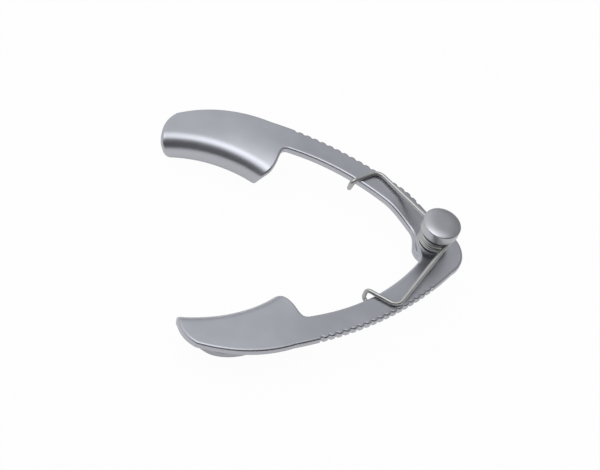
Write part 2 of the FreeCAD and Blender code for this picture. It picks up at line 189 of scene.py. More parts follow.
# %% Geometry trees
def geometry_tree(name, sizes, build):
    """A geometry node tree with one number input for each size."""
    tree = bpy.data.node_groups.new(name, "GeometryNodeTree")
    tree.interface.new_socket("Shape", in_out="INPUT", socket_type="NodeSocketGeometry")
    tree.interface.new_socket("Shape", in_out="OUTPUT", socket_type="NodeSocketGeometry")
    for size in sizes:
        tree.interface.new_socket(size, in_out="INPUT", socket_type="NodeSocketFloat")
    tree.interface.new_socket("Finish", in_out="INPUT", socket_type="NodeSocketMaterial")
    graph = Graph(tree)
    group_in = tree.nodes.new("NodeGroupInput")
    values = {socket.name: Value(graph, socket) for socket in group_in.outputs if socket.name}
    shape = build(graph, values)
    whole = graph.add("GeometryNodeRealizeInstances", values={0: shape})
    painted = graph.add("GeometryNodeSetMaterial",
                        values={"Geometry": whole, "Material": values["Finish"]})
    group_out = tree.nodes.new("NodeGroupOutput")
    tree.links.new(painted.socket, group_out.inputs[0])
    return tree


def run_tree(tree, name, mesh, sizes, finish=None):
    """The plain mesh that the tree makes of a mesh."""
    carrier = bpy.data.objects.new(name, mesh)
    scene.collection.objects.link(carrier)
    modifier = carrier.modifiers.new("nodes", "NODES")
    modifier.node_group = tree
    for item in tree.interface.items_tree:
        if item.in_out == "INPUT" and item.name in sizes:
            modifier[item.identifier] = float(sizes[item.name])
        if item.in_out == "INPUT" and item.name == "Finish":
            modifier[item.identifier] = finish
    bpy.context.view_layer.update()
    ready = carrier.evaluated_get(bpy.context.evaluated_depsgraph_get())
    made = bpy.data.meshes.new_from_object(ready)
    bpy.data.objects.remove(carrier)
    made.name = name
    return made


def place_piece(name, mesh, finish, body=None):
    """A finished piece: its mesh, still in millimetres, is brought to metres."""
    mesh.transform(Matrix.Scale(MM, 4))
    mesh.materials.clear()
    mesh.materials.append(finish)
    mesh.polygons.foreach_set("use_smooth", [True] * len(mesh.polygons))
    mesh.update()
    piece = bpy.data.objects.new(name, mesh)
    scene.collection.objects.link(piece)
    if body:
        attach(piece, body)
    solid = bmesh.new()
    solid.from_mesh(mesh)
    open_edges = sum(1 for edge in solid.edges if not edge.is_manifold)
    print("%s: %d faces, %.3f mm3, %d open edges"
          % (name, len(mesh.polygons), solid.calc_volume(signed=True) / MM ** 3, open_edges))
    solid.free()
    return piece


# %% [markdown]
# The steel of the arms is stainless sheet with a satin finish, as bead blasting leaves it: a cool grey
# that blurs its reflections, with a fine even grain and, over a few millimetres, faint clouds where it
# was handled. Two scales of noise give that. The clouds shift colour and roughness a little, and the
# grain shifts them too and feeds a Bump node. The patterns read Object coordinates, so they stay on the
# metal when it moves. The screw, the sleeve and the ring have the same finish with a shallower grain.

# %% Satin steel
CLOUD_SIZE = 5.0
SATIN_SHADES = (0.93, 1.05)


def new_material(name):
    """An empty material, its graph and its Object coordinates."""
    material = bpy.data.materials.new(name)
    material.use_nodes = True
    material.node_tree.nodes.clear()
    graph = Graph(material.node_tree)
    return material, graph, graph.add("ShaderNodeTexCoord", output="Object")


def add_metal(graph, colour, shades, mask, roughness, relief, depth):
    """A bare metal: a mask mixes its two shades, and a relief of some depth gives its grain."""
    dark = tuple(channel * shades[0] for channel in colour) + (1.0,)
    light = tuple(min(channel * shades[1], 1.0) for channel in colour) + (1.0,)
    tone = graph.add("ShaderNodeMix", {"data_type": "RGBA"},
                     {0: mask.ease(0.3, 0.7), 6: dark, 7: light}, output=2)
    bump = graph.add("ShaderNodeBump", values={"Strength": 1.0, "Distance": depth * MM, "Height": relief})
    shader = graph.add("ShaderNodeBsdfPrincipled", values={
        "Base Color": tone, "Metallic": 1.0, "Roughness": roughness, "Normal": bump})
    graph.add("ShaderNodeOutputMaterial", values={"Surface": shader})


def satin_steel(name, colour, roughness, grain_size, grain_depth):
    """Blasted stainless steel."""
    material, graph, place = new_material(name)

    def noise(size, detail):
        return graph.add("ShaderNodeTexNoise", {"noise_dimensions": "3D"},
                         {"Vector": place, "Scale": 1 / (size * MM), "Detail": detail})

    clouds = noise(CLOUD_SIZE, 3.0)
    grain = noise(grain_size, 2.0)
    rough = (clouds - 0.5) * 0.08 + (grain - 0.5) * 0.10 + roughness
    add_metal(graph, colour, SATIN_SHADES, clouds * 0.7 + grain * 0.3, rough, grain, grain_depth)
    return material


steel_finish = satin_steel("satin_steel", (0.57, 0.575, 0.615), 0.32, 0.10, 0.0022)
turned_finish = satin_steel("satin_turned_steel", (0.57, 0.575, 0.60), 0.32, 0.10, 0.0010)
print("finishes:", steel_finish.name, turned_finish.name)

# %% [markdown]
# The spring is drawn wire. Drawing leaves it glossier than the sheet, a touch warmer in colour, and with
# fine scratches along its length. The pieces of wire carry two numbers on their surface, how far along
# the wire and how far round it a point lies, and the scratches are a noise that is stretched along the
# first of them.

# %% Drawn wire
WIRE_SHADES = (0.88, 1.06)
WIRE_CLOUD_SIZE = 1.5
SCRATCH_DEPTH = 0.004
SCRATCH_LENGTHENING = 0.15


def drawn_wire(name, colour, roughness):
    """Drawn spring steel wire."""
    material, graph, place = new_material(name)
    along = graph.add("ShaderNodeAttribute", {"attribute_name": "along"}, output="Fac")
    around = graph.add("ShaderNodeAttribute", {"attribute_name": "around"}, output="Fac")
    turn = around * (2 * math.pi)
    spot = graph.vector(turn.cos() * 2.0, turn.sin() * 2.0, along * SCRATCH_LENGTHENING)
    streaks = graph.add("ShaderNodeTexNoise", values={"Vector": spot, "Scale": 3.0, "Detail": 3.0})
    clouds = graph.add("ShaderNodeTexNoise",
                       values={"Vector": place, "Scale": 1 / (WIRE_CLOUD_SIZE * MM), "Detail": 2.0})
    rough = (streaks - 0.5) * 0.12 + (clouds - 0.5) * 0.06 + roughness
    add_metal(graph, colour, WIRE_SHADES, streaks * 0.6 + clouds * 0.4, rough, streaks, SCRATCH_DEPTH)
    return material


wire_finish = drawn_wire("spring_wire", (0.57, 0.565, 0.55), 0.30)
print("finish:", wire_finish.name)

# %% [markdown]
# An arm starts as a flat blank, cut from sheet. Its outline is a chain of lines and arcs: the outer side
# bows from the blade's shoulder back to the pivot, goes round the lug and returns along the inner side to
# a notch beside the blade. From there the blank runs out into a tongue, which the press later rolls under
# to make the lid channel. The tongue's free edge is one smooth curve, so it is drawn through a few chosen
# points.
#
# The plan is drawn for the arm on the +Y side, with the pivot at 0, 0. The other arm is its mirror image.

# %% The blank's outline
ARC_STEPS = 48
BOW_STEPS = 200
CURVE_STEPS = 10


def polar(centre, angle, distance):
    """The plan point at an angle in degrees and a distance from a centre."""
    turn = math.radians(angle)
    return Vector(centre) + Vector((math.cos(turn), math.sin(turn))) * distance


def arc_centre(start, end, radius):
    """The centre of an arc that bulges to the left of its way, or right if the radius is negative."""
    chord = end - start
    left = Vector((-chord.y, chord.x)).normalized() * math.copysign(1, radius)
    return (start + end) / 2 - left * math.sqrt(radius ** 2 - (chord.length / 2) ** 2)


def arc_points(start, end, radius, count=ARC_STEPS):
    """Points on the arc, without the last one."""
    centre = arc_centre(start, end, radius)
    arms = start - centre, end - centre
    turn = arms[0].angle_signed(arms[1])
    first = math.atan2(arms[0].y, arms[0].x)
    spots = []
    for i in range(count):
        angle = first - turn * i / count
        spots.append(centre + Vector((math.cos(angle), math.sin(angle))) * abs(radius))
    return spots


def smooth_points(points, count=CURVE_STEPS):
    """Points on a smooth curve through the points, without the last one."""
    ends = [points[0] * 2 - points[1]] + points + [points[-1] * 2 - points[-2]]
    spots = []
    for before, start, end, after in zip(ends, ends[1:], ends[2:], ends[3:]):
        for i in range(count):
            t = i / count
            spots.append(0.5 * (2 * start + (end - before) * t
                                + (2 * before - 5 * start + 4 * end - after) * t ** 2
                                + (3 * start - 3 * end + after - before) * t ** 3))
    return spots


outer_bow_radius = 53.3
inner_bow_radius = 31.6
rear_radius = 4.4
rear_side_radius = 3.6
blade_end_radius = 18.0
shoulder = Vector((-20.9, 19.0))
rear_corner = Vector((2.5, 4.42))
rear_end = Vector((3.7, -1.4))
throat = Vector((-1.92, 2.75))
notch = Vector((-19.45, 14.4))
blade_corner = Vector((-34.0, 19.48))
tongue = [Vector(spot) for spot in (
    (-19.98, 13.5), (-20.46, 12.4), (-21.0, 11.4), (-21.75, 10.45), (-22.7, 9.7), (-23.9, 8.9),
    (-25.2, 7.85), (-26.6, 6.8), (-28.2, 5.95), (-29.85, 5.7), (-31.3, 6.2), (-32.5, 7.3),
    (-33.4, 9.2), (-34.4, 11.1), (-35.4, 12.75), (-35.85, 13.85), (-36.02, 14.8), (-36.06, 15.7),
    (-35.93, 16.7), (-35.55, 17.7), (-34.9, 18.65))]
LUGS = {
    "upper_arm": {"radius": 2.9, "front": Vector((-1.95, -1.8)), "side": Vector((0.2, -2.9))},
    "lower_arm": {"radius": 2.25, "front": Vector((-2.05, 0.95)), "side": Vector((0.2, -2.2))},
}


def outline(node):
    """The closed outline of an arm's blank, clockwise seen from above."""
    lug = LUGS[node]
    spots = arc_points(shoulder, rear_corner, outer_bow_radius, BOW_STEPS)
    spots += arc_points(rear_corner, rear_end, rear_radius)
    spots += arc_points(rear_end, lug["side"], rear_side_radius)
    spots += arc_points(lug["side"], lug["front"], lug["radius"])
    spots += [lug["front"]]
    spots += arc_points(throat, notch, -inner_bow_radius, BOW_STEPS)
    spots += smooth_points([notch] + tongue + [blade_corner])
    spots += arc_points(blade_corner, shoulder, blade_end_radius)
    return np.array([spot[:] for spot in spots])


def even_spacing(points, spacing):
    """The closed outline with evenly spaced points."""
    closed = np.vstack((points, points[:1]))
    runs = np.concatenate(((0,), np.cumsum(np.hypot(*np.diff(closed, axis=0).T))))
    stations = np.linspace(0, runs[-1], int(runs[-1] / spacing), endpoint=False)
    return np.column_stack([np.interp(stations, runs, closed[:, axis]) for axis in (0, 1)])


def soften(values, passes):
    """Evens values out along a closed outline."""
    for _ in range(passes):
        values = (np.roll(values, 1, 0) + 2 * values + np.roll(values, -1, 0)) / 4
    return values


def ease_corner(points, corner, reach):
    """Draws a smooth bend in place of a corner, from the reach before it to the reach after it."""
    count = round(reach / OUTLINE_SPACING)
    nearest = np.argmin(np.hypot(*(points - corner).T))
    order = (nearest + np.arange(-count, count + 1)) % len(points)
    start, end = points[order[0]], points[order[-1]]
    share = np.linspace(0, 1, len(order))[:, None]
    rest = 1 - share
    points[order] = rest ** 2 * start + 2 * share * rest * np.array(corner) + share ** 2 * end


OUTLINE_SPACING = 0.09
OUTLINE_PASSES = 4
SOFT_CORNERS = ((throat, 0.75), (notch, 0.75))
LUG_REACH = 0.8
blanks = {}
for node, lug in LUGS.items():
    points = even_spacing(outline(node), OUTLINE_SPACING)
    for corner, reach in SOFT_CORNERS + ((lug["front"], LUG_REACH),):
        ease_corner(points, corner, reach)
    blanks[node] = soften(points, OUTLINE_PASSES)
    print(node, "outline:", len(points), "points")

# %% [markdown]
# Fingers grip the arms along their outer sides, which have a row of small scallops. They follow a rule:
# one shape, repeated at an even pitch along the outer bow. A geometry tree writes that rule down once.
# For each point of the outline it finds how far along the bow the point lies, where that is within one
# pitch, and how deep a round cutter in the middle of the pitch would bite there, and it moves the point
# in by that much. A smooth maximum instead of a plain one leaves the small round crests that tumbling
# gives.

# %% Grip scallops
def build_scallops(graph, size):
    """Moves the outline's points in where the cutters bite."""
    x, y, _ = graph.parts(graph.add("GeometryNodeInputPosition"))
    dx, dy = x - size["Centre X"], y - size["Centre Y"]
    distance = (dx * dx + dy * dy).sqrt()
    angle = dy.math("ARCTAN2", dx)
    along = (size["First Angle"] - angle) * size["Bow Radius"]
    number = along / size["Pitch"]
    across = (number.math("FRACT") - 0.5) * size["Pitch"]
    cut = size["Cutter Radius"]
    bite = (cut * cut - across * across).least(0.0).sqrt() - cut + size["Depth"]
    crest_round = 0.06
    depth = bite.math("SMOOTH_MAX", 0.0, crest_round)
    tolerance = 0.05
    on_bow = (distance - size["Bow Radius"]).math("COMPARE", 0.0, tolerance)
    in_row = number.math("GREATER_THAN", 0.0) * number.math("LESS_THAN", size["Count"])
    push = depth * on_bow * in_row * -1 / distance
    offset = graph.vector(dx * push, dy * push, 0.0)
    return graph.add("GeometryNodeSetPosition", values={"Geometry": size["Shape"], "Offset": offset})


scallop_pitch = 1.14
first_scallop = 3.91
bow_centre = arc_centre(shoulder, rear_corner, outer_bow_radius)
to_shoulder = shoulder - bow_centre
scallop_sizes = {
    "Centre X": bow_centre.x,
    "Centre Y": bow_centre.y,
    "First Angle": math.atan2(to_shoulder.y, to_shoulder.x)
                   - (first_scallop - scallop_pitch / 2) / outer_bow_radius,
    "Bow Radius": outer_bow_radius,
    "Pitch": scallop_pitch,
    "Count": 18,
    "Cutter Radius": 0.3,
    "Depth": 0.2,
}
scallop_tree = geometry_tree("grip_scallops", list(scallop_sizes), build_scallops)


def scalloped(points):
    """The outline with its scallops."""
    wire = bpy.data.meshes.new("outline")
    edges = [(i, (i + 1) % len(points)) for i in range(len(points))]
    wire.from_pydata([(x, y, 0) for x, y in points], edges, [])
    made = run_tree(scallop_tree, "outline", wire, scallop_sizes)
    return np.array([vertex.co[:2] for vertex in made.vertices])


for node in blanks:
    moved = scalloped(blanks[node])
    print(node, "deepest scallop %.2f mm" % np.hypot(*(moved - blanks[node]).T).max())
    blanks[node] = moved

# %% [markdown]
# The blank becomes a plate with rounded edges. Around the outline runs a rim of rings: each ring lies a
# little further in and higher or lower, along a quarter circle at the upper edge and another at the lower
# one. The faces inside the rims are filled with triangles by a Delaunay fill, which also takes loose
# points inside. The fill covers the bore too, so the triangles that have all their corners on the bore
# are left out. The loose points are laid close together, along the lines of the later bends, where the
# press will curve the sheet, and far apart elsewhere.
#
# The tongue shrinks towards its middle when it is drawn flat around the spine's centre, and the press
# stretches it sideways again. The rim's steps are divided by that stretch beforehand, so the rounding
# comes out even.

# %% The press's sizes
channel_radius = 2.3
fold_reach = 3.8
fold_start_sink = 0.67
fold_end_sink = 0.05
spine_radius = 20.9
spine_centre = Vector((-34.3, -4.45))
blade_start = 40.0
blade_end = 98.0
sink_end = 100.0
blade_droop = 1.75
flat_radius = spine_radius + fold_reach


def fold_shape(angle):
    """The gentle bend's angle and radius at an angle around the spine's centre."""
    share = min(max((angle - blade_start) / (sink_end - blade_start), 0), 1)
    sink = fold_start_sink + (fold_end_sink - fold_start_sink) * share
    bend = 2 * math.atan(sink / fold_reach)
    return bend, channel_radius + fold_reach / math.sin(bend)


def pressed_distance(angle, distance):
    """How far from the spine's centre the press leaves a point of the flat blank."""
    run = flat_radius - distance
    if run <= 0:
        return distance
    bend, gentle = fold_shape(angle)
    first = min(run / gentle, bend)
    second = min(max(run - gentle * bend, 0) / channel_radius, math.pi - bend)
    lip = max(run - gentle * bend - channel_radius * (math.pi - bend), 0)
    return (flat_radius - gentle * math.sin(first)
            - channel_radius * (math.sin(bend + second) - math.sin(bend)) + lip)


def even_inward(points, passes):
    """The inward steps of a clockwise outline that come out 1 mm long after pressing."""
    way = soften(np.roll(points, -1, 0) - np.roll(points, 1, 0), passes)
    steps = []
    for (x, y), (dx, dy) in zip(points, way):
        spot = Vector((x, y)) - spine_centre
        out = spot.normalized()
        sideways = Vector((-out.y, out.x))
        angle = math.degrees(math.atan2(spot.y, spot.x))
        stretch = pressed_distance(angle, spot.length) / spot.length
        go = Vector((Vector((dx, dy)).dot(out), Vector((dx, dy)).dot(sideways) * stretch)).normalized()
        inward = Vector((go.y, -go.x))
        steps.append(out * inward.x + sideways * (inward.y / stretch))
    return np.array([step[:] for step in steps])


print("gentle bend %.1f to %.1f degrees"
      % tuple(math.degrees(fold_shape(angle)[0]) for angle in (blade_start, blade_end)))

# %% [markdown]
# The loose points lie on three grids. One follows the fold around the spine's centre, one covers the flat
# part, and one runs along the step of the lower arm. A point counts only when it lies inside the outline
# and clear of its rim, which a count of the outline's crossings and the distance to it tell.

# %% Points inside the blank
BLADE_ANGLES = np.arange(44.0, 100.0, 1.1)
BLADE_RUNS = np.arange(-3.0, 14.0, 0.28)
PLATE_SPACING = 0.9
PLATE_END_ANGLE = 43.0
STEP_SPACING = 0.2
STEP_SIDE_SPACING = 0.45


def inside(points, fence, margin):
    """The points that lie inside the fence and at least the margin away from it."""
    kept = []
    starts, ends = fence, np.roll(fence, -1, 0)
    span = ends - starts
    length2 = (span ** 2).sum(1)
    for point in points:
        above = (starts[:, 1] > point[1]) != (ends[:, 1] > point[1])
        cross = starts[above, 0] + (point[1] - starts[above, 1]) * span[above, 0] / span[above, 1]
        if np.count_nonzero(cross > point[0]) % 2 == 0:
            continue
        share = np.clip(((point - starts) * span).sum(1) / length2, 0, 1)
        gap = np.hypot(*(point - starts - span * share[:, None]).T).min()
        if gap > margin:
            kept.append(point)
    return kept


def blade_grid():
    """Points along the fold's lines, close together where the sheet bends most."""
    spots = []
    for angle in BLADE_ANGLES:
        for run in BLADE_RUNS:
            spots.append(polar(spine_centre, angle, flat_radius - run)[:])
    return spots


def plate_grid():
    """Widely spaced points on the flat part."""
    spots = []
    for x in np.arange(-24.0, 5.0, PLATE_SPACING):
        for y in np.arange(-4.0, 21.0, PLATE_SPACING):
            spot = Vector((x, y)) - spine_centre
            if math.degrees(math.atan2(spot.y, spot.x)) < PLATE_END_ANGLE:
                spots.append((x, y))
    return spots


step_start, step_end = -9.0, -2.8
step_way = polar((0, 0), -50.0, 1.0)


def step_grid():
    """Points along the step's lines."""
    side = Vector((-step_way.y, step_way.x))
    spots = []
    for run in np.arange(step_start - STEP_SPACING, step_end + STEP_SPACING + 0.01, STEP_SPACING):
        for aside in np.arange(-8.0, 8.0, STEP_SIDE_SPACING):
            spots.append((step_way * run + side * aside)[:])
    return spots


# %% [markdown]
# `rim_profile` gives the inset and the level of each ring. `flat_plate` joins the rings and the two fills
# into one closed skin, with the same triangles on the upper face and, turned over, on the lower one.

# %% The plate
EDGE_ROUND = 0.32
BORE_ROUND = 0.06
ROUND_STEPS = 5
SUPPORT = 0.1
BORE_STEPS = 72
BORE_MARGIN = 0.4
FENCE_MARGIN = 0.09
INWARD_PASSES = 25
bore_radius = 0.94


def rim_profile(edge_round):
    """Inset and level of each ring, from the upper face over the edge to the lower face."""
    turns = [math.pi / 2 * i / ROUND_STEPS for i in range(ROUND_STEPS + 1)]
    upper = [(edge_round * (1 - math.sin(turn)), -edge_round * (1 - math.cos(turn))) for turn in turns]
    upper.insert(0, (edge_round + SUPPORT, 0.0))
    lower = [(inset, -plate_thickness - level) for inset, level in reversed(upper)]
    return upper + lower


def flat_plate(node):
    """The blank as a closed plate with rounded edges and the pivot's bore."""
    border = blanks[node]
    bore = np.array([polar((0, 0), 360 * i / BORE_STEPS, bore_radius)[:] for i in range(BORE_STEPS)])
    rims = [(border, even_inward(border, INWARD_PASSES), EDGE_ROUND),
            (bore, bore / bore_radius, BORE_ROUND)]
    vertices, faces, inner = [], [], []
    for points, steps, edge_round in rims:
        start = len(vertices)
        profile = rim_profile(edge_round)
        count = len(points)
        for inset, level in profile:
            vertices += [(x, y, level) for x, y in points + steps * inset]
        for ring in range(len(profile) - 1):
            for i in range(count):
                a, b = start + ring * count + i, start + ring * count + (i + 1) % count
                faces.append((a, b, b + count, a + count))
        inner.append(([start + i for i in range(count)],
                      [start + (len(profile) - 1) * count + i for i in range(count)]))
    fence = np.array([vertices[i][:2] for i in inner[0][0]])
    loose = blade_grid() + plate_grid() + (step_grid() if node == "lower_arm" else [])
    loose = inside([np.array(spot) for spot in loose], fence, FENCE_MARGIN)
    loose = [spot for spot in loose if math.hypot(*spot) > bore_radius + BORE_MARGIN]
    top = inner[0][0] + inner[1][0] + list(range(len(vertices), len(vertices) + len(loose)))
    vertices += [(x, y, 0.0) for x, y in loose]
    bottom = inner[0][1] + inner[1][1] + list(range(len(vertices), len(vertices) + len(loose)))
    vertices += [(x, y, -plate_thickness) for x, y in loose]
    loops = []
    first = 0
    for points, _, _ in rims:
        loops += [(first + i, first + (i + 1) % len(points)) for i in range(len(points))]
        first += len(points)
    flat = [Vector(vertices[i][:2]) for i in top]
    result = delaunay_2d_cdt(flat, loops, [], 2, 1e-5)
    source = [origins[0] for origins in result[3]]
    on_bore = set(range(len(border), len(border) + len(bore)))
    for triangle in result[2]:
        corners = [source[i] for i in triangle]
        if on_bore.issuperset(corners):
            continue
        faces.append(tuple(top[i] for i in corners))
        faces.append(tuple(bottom[i] for i in reversed(corners)))
    mesh = bpy.data.meshes.new(node + "_blank")
    mesh.from_pydata(vertices, [], faces)
    print(node, "blank:", len(vertices), "points,", len(faces), "faces")
    return mesh


# %% [markdown]
# The press is a second geometry tree. Every bend of the arm follows a formula, so the tree needs no hand
# work: it takes the flat plate and gives each point its place on the pressed sheet. Around the spine's
# centre the blade first sinks gently, then rolls round in a half circle and runs back out as the lip.
# Towards its tip the whole blade droops. The lower arm also steps down beside the pivot, so that its lug
# lies under the other one.

# %% The press
def build_press(graph, size):
    """Bends the flat plate."""
    x, y, level = graph.parts(graph.add("GeometryNodeInputPosition"))
    dx, dy = x - size["Spine X"], y - size["Spine Y"]
    distance = (dx * dx + dy * dy).sqrt()
    angle = dy.math("ARCTAN2", dx)
    degrees = angle * (180 / math.pi)
    run = size["Spine Radius"] + size["Fold Reach"] - distance
    share = ((degrees - size["Blade Start"]) / (size["Sink End"] - size["Blade Start"])).math(
        "ADD", 0.0, clamp=True)
    sink = size["Start Sink"] + (size["End Sink"] - size["Start Sink"]) * share
    bend = (sink / size["Fold Reach"]).math("ARCTANGENT") * 2
    gentle = size["Channel Radius"] + size["Fold Reach"] / bend.sin()
    first = (run / gentle).least(0.0).most(bend)
    half_round = bend * -1 + math.pi
    second = ((run - gentle * bend) / size["Channel Radius"]).least(0.0).most(half_round)
    lip = (run - gentle * bend - size["Channel Radius"] * half_round).least(0.0)
    turn = first + second
    flat = run.most(0.0)
    out = (size["Spine Radius"] + size["Fold Reach"] - flat - gentle * first.sin()
           - size["Channel Radius"] * (turn.sin() - bend.sin()) * second.math("GREATER_THAN", 0.0)
           + lip - level * turn.sin())
    down = (gentle * (1 - first.cos())
            + size["Channel Radius"] * (bend.cos() - turn.cos()) * second.math("GREATER_THAN", 0.0))
    drooped = ((degrees - size["Blade Start"]) / (size["Blade End"] - size["Blade Start"])).least(0.0)
    droop = drooped * drooped * size["Blade Droop"]
    along = x * size["Step X"] + y * size["Step Y"]
    step = along.ease(size["Step Start"], size["Step End"]) * size["Step Drop"]
    height = level * turn.cos() - down - droop - step
    place = graph.vector(size["Spine X"] + out * angle.cos(), size["Spine Y"] + out * angle.sin(),
                         height + size["Arm Top"])
    return graph.add("GeometryNodeSetPosition", values={"Geometry": size["Shape"], "Position": place})


press_sizes = {
    "Spine X": spine_centre.x,
    "Spine Y": spine_centre.y,
    "Spine Radius": spine_radius,
    "Fold Reach": fold_reach,
    "Channel Radius": channel_radius,
    "Start Sink": fold_start_sink,
    "End Sink": fold_end_sink,
    "Sink End": sink_end,
    "Blade Start": blade_start,
    "Blade End": blade_end,
    "Blade Droop": blade_droop,
    "Step X": step_way.x,
    "Step Y": step_way.y,
    "Step Start": step_start,
    "Step End": step_end,
    "Arm Top": arm_top,
}
press_tree = geometry_tree("press", list(press_sizes) + ["Step Drop"], build_press)


def make_arm(node, side, drop):
    """Makes an arm: pressed, and for side -1 mirrored to the other side."""
    sizes = dict(press_sizes, **{"Step Drop": drop})
    pressed = run_tree(press_tree, node + "_sheet", flat_plate(node), sizes, steel_finish)
    if side < 0:
        pressed.transform(Matrix.Scale(-1, 4, (0, 1, 0)))
        pressed.flip_normals()
    piece = place_piece(node + "_sheet", pressed, steel_finish, node)
    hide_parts(node)


make_arm("lower_arm", 1, step_drop)
make_arm("upper_arm", -1, 0.0)

# %% [markdown]
# The pivot's hardware is turned on a lathe: a screw with a smooth domed head, a flanged sleeve that
# carries the coil, and a ring on the screw's end that keeps it in. A turned piece is its half section,
# spun about the axis. The section is written as corners, each with its rounding, because a turned edge is
# never quite sharp and its small round is what catches the light.

# %% Turned pieces
ROUNDING_STEPS = 6
TURNED_SEGMENTS = 128


def rounded_section(corners, steps=ROUNDING_STEPS):
    """The section's points, with each corner rounded by its radius."""
    spots = []
    count = len(corners)
    for i, (radius, level, rounding) in enumerate(corners):
        corner = Vector((radius, level))
        if rounding == 0:
            spots.append(corner)
            continue
        back = (Vector(corners[i - 1][:2]) - corner).normalized()
        ahead = (Vector(corners[(i + 1) % count][:2]) - corner).normalized()
        half = back.angle(ahead) / 2
        centre = corner + (back + ahead).normalized() * (rounding / math.sin(half))
        start = corner + back * (rounding / math.tan(half)) - centre
        end = corner + ahead * (rounding / math.tan(half)) - centre
        sweep = start.angle_signed(end)
        for k in range(steps + 1):
            spots.append(centre + Matrix.Rotation(-sweep * k / steps, 2) @ start)
    return spots


def turned_mesh(name, section, closed, segments=TURNED_SEGMENTS):
    """The section spun about the pivot's axis; an open section starts and ends on the axis."""
    vertices, faces, rings = [], [], []
    for spot in section:
        if spot.x < 1e-6:
            rings.append([len(vertices)])
            vertices.append((0, 0, spot.y))
            continue
        rings.append(list(range(len(vertices), len(vertices) + segments)))
        vertices += [(*polar((0, 0), 360 * k / segments, spot.x), spot.y) for k in range(segments)]
    pairs = list(zip(rings, rings[1:])) + ([(rings[-1], rings[0])] if closed else [])
    for low, high in pairs:
        for k in range(segments):
            after = (k + 1) % segments
            if len(low) == 1:
                faces.append((low[0], high[after], high[k]))
            elif len(high) == 1:
                faces.append((low[k], low[after], high[0]))
            else:
                faces.append((low[k], low[after], high[after], high[k]))
    mesh = bpy.data.meshes.new(name)
    mesh.from_pydata(vertices, [], faces)
    solid = bmesh.new()
    solid.from_mesh(mesh)
    bmesh.ops.recalc_face_normals(solid, faces=solid.faces)
    solid.to_mesh(mesh)
    solid.free()
    return mesh


def make_turned(node, section, body, closed=True):
    """Makes a turned piece in place of its node."""
    piece = place_piece(node + "_turned", turned_mesh(node, section, closed), turned_finish, body)
    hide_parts(node)


screw_radius = 0.9
ring_radius, ring_top = 1.45, top_of("stop_ring")
make_turned("stop_ring", rounded_section([
    (screw_radius, 0.0, 0.0), (ring_radius, 0.0, 0.08), (ring_radius, ring_top, 0.08),
    (screw_radius, ring_top, 0.0),
]), "thumb_screw")

sleeve_top = top_of("spring_sleeve")
flange_radius, flange_top, sleeve_radius = 1.95, arm_top + 0.3, 1.42
make_turned("spring_sleeve", rounded_section([
    (bore_radius, arm_top, 0.0), (flange_radius, arm_top, 0.04), (flange_radius, flange_top, 0.08),
    (sleeve_radius, flange_top, 0.04), (sleeve_radius, sleeve_top, 0.05), (bore_radius, sleeve_top, 0.0),
]), "upper_arm")

# %% [markdown]
# The screw's head is a button: a straight side, a crisp rim and a low dome on top. The dome is almost
# flat in the middle and falls away ever faster towards the rim, as the fourth power of the distance from
# the axis. That fall is what turns the overhead light into the narrow bright crescent along the near rim.

# %% Thumbscrew
head_radius, head_side, head_dome = 2.65, 1.42, 0.35
head_top = top_of("thumb_screw")
head_level = head_top - head_dome - head_side
RIM_ROUND = 0.16
UNDER_ROUND = 0.14
DOME_STEPS = 16
DOME_POWER = 4
dome_edge = head_radius * 0.92


def dome_level(radius):
    """The dome's height at a distance from the axis."""
    return head_top - head_dome * (radius / head_radius) ** DOME_POWER


rim = rounded_section([
    (0.0, 0.0, 0.0), (screw_radius, 0.0, 0.1), (screw_radius, head_level, 0.0),
    (head_radius, head_level, UNDER_ROUND), (head_radius, dome_level(head_radius), RIM_ROUND),
    (dome_edge, dome_level(dome_edge), 0.0),
])
dome = [Vector((dome_edge * (1 - i / DOME_STEPS), dome_level(dome_edge * (1 - i / DOME_STEPS))))
        for i in range(1, DOME_STEPS + 1)]
make_turned("thumb_screw", rim + dome, "thumb_screw", closed=False)

# %% [markdown]
# The spring is one length of wire on the real thing. Here it is three pieces, so that each leg moves with
# its arm. One geometry tree makes all three: it takes a path, rounds its corners with the radius that
# each point carries, lays even points along it and sweeps a circle. Near a free end the circle shrinks,
# so the wire ends in a rounded tip.

# %% The wire tree
BEND_STEPS = 12
WIRE_SPACING = 0.07
WIRE_SIDES = 24


def build_wire(graph, size):
    """Sweeps round wire along the path."""
    path = graph.add("GeometryNodeMeshToCurve", values={0: size["Shape"]})
    corner = graph.add("GeometryNodeInputNamedAttribute", {"data_type": "FLOAT"}, {"Name": "corner"})
    path = graph.add("GeometryNodeFilletCurve", {"mode": "POLY"},
                     {"Curve": path, "Count": BEND_STEPS, "Radius": corner})
    path = graph.add("GeometryNodeResampleCurve", {"mode": "LENGTH"},
                     {"Curve": path, "Length": WIRE_SPACING})
    spline = graph.add("GeometryNodeSplineParameter")
    factor = Value(graph, spline.socket.node.outputs["Factor"])
    length = Value(graph, spline.socket.node.outputs["Length"])
    whole = length / factor.least(0.001)
    left = ((whole - length) / size["Wire Radius"]).math("ADD", 0.0, clamp=True)
    shrunk = (1 - (1 - left) * (1 - left) * 0.98).sqrt()
    free = size["Free End"]
    thickness = 1 - free + free * shrunk
    path = graph.add("GeometryNodeStoreNamedAttribute", {"data_type": "FLOAT", "domain": "POINT"},
                     {"Geometry": path, "Name": "along", "Value": length})
    ring = graph.add("GeometryNodeCurvePrimitiveCircle", {"mode": "RADIUS"},
                     {"Resolution": WIRE_SIDES, "Radius": size["Wire Radius"]})
    place = graph.add("GeometryNodeSplineParameter")
    ring = graph.add("GeometryNodeStoreNamedAttribute", {"data_type": "FLOAT", "domain": "POINT"},
                     {"Geometry": ring, "Name": "around", "Value": place})
    return graph.add("GeometryNodeCurveToMesh", values={
        "Curve": path, "Profile Curve": ring, "Scale": thickness, "Fill Caps": True})


